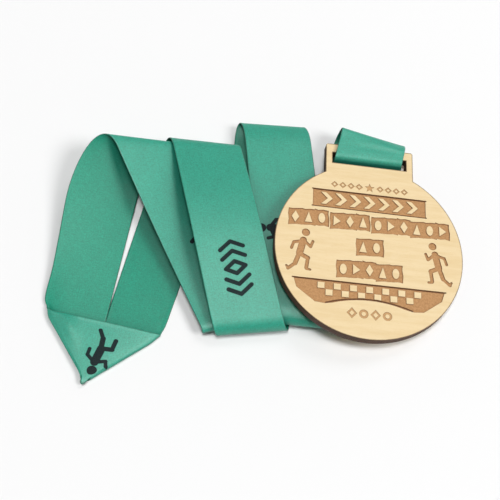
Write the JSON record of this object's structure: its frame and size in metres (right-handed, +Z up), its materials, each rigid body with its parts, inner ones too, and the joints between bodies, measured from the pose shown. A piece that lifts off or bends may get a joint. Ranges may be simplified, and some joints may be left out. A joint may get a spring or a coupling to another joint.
{
  "type": "sports finisher medal",
  "caption": "Round plywood medal with a slotted tab, hanging on a closed loop of woven ribbon that lies folded flat.",
  "frame": {"origin": "on the table, under the middle of the whole object", "axes": "+Z up from the table, +X along the longest side from the folded ribbon towards the medal, +Y from the medal's lower rim towards its tab"},
  "size_m": [0.1526, 0.1035, 0.0161],
  "materials": {
    "plywood_face": "bare sanded",
    "plywood_core": "burnt edge",
    "ribbon_cloth": "satin",
    "sewing_thread": "satin"
  },
  "bodies": {
    "ribbon": {"lap_end": "ribbon_cloth", "lap_bend": "ribbon_cloth", "slot_rise": "ribbon_cloth", "slot_bend": "ribbon_cloth", "bar_strap": "ribbon_cloth", "bar_loop": "ribbon_cloth", "outer_tail": "ribbon_cloth", "low_fold_d": "ribbon_cloth", "top_run_d": "ribbon_cloth", "high_fold_d": "ribbon_cloth", "under_run_d": "ribbon_cloth", "low_fold_c": "ribbon_cloth", "top_run_c": "ribbon_cloth", "high_fold_c": "ribbon_cloth", "leg_right": "ribbon_cloth", "neck_crease_right": "ribbon_cloth", "neck_band": "ribbon_cloth", "neck_crease_left": "ribbon_cloth", "leg_left": "ribbon_cloth", "tall_loop": "ribbon_cloth", "top_run_b": "ribbon_cloth", "low_fold_b": "ribbon_cloth", "under_run_b": "ribbon_cloth", "high_fold_hidden": "ribbon_cloth", "hidden_run": "ribbon_cloth", "low_fold_hidden": "ribbon_cloth", "inner_tail": "ribbon_cloth", "seam_thread": "sewing_thread"},
    "medal": {"medal_front_ply": "plywood_face", "medal_core_ply": "plywood_core", "medal_back_ply": "plywood_face"}
  },
  "joints": [
    {"name": "medal_swing", "type": "hinge", "parent": "ribbon", "child": "medal", "pos_m": [0.04327, 0.03633, 0.00645], "axis": [-0.987, 0.0498, 0.1526], "range_deg": [0, 120]}
  ]
}
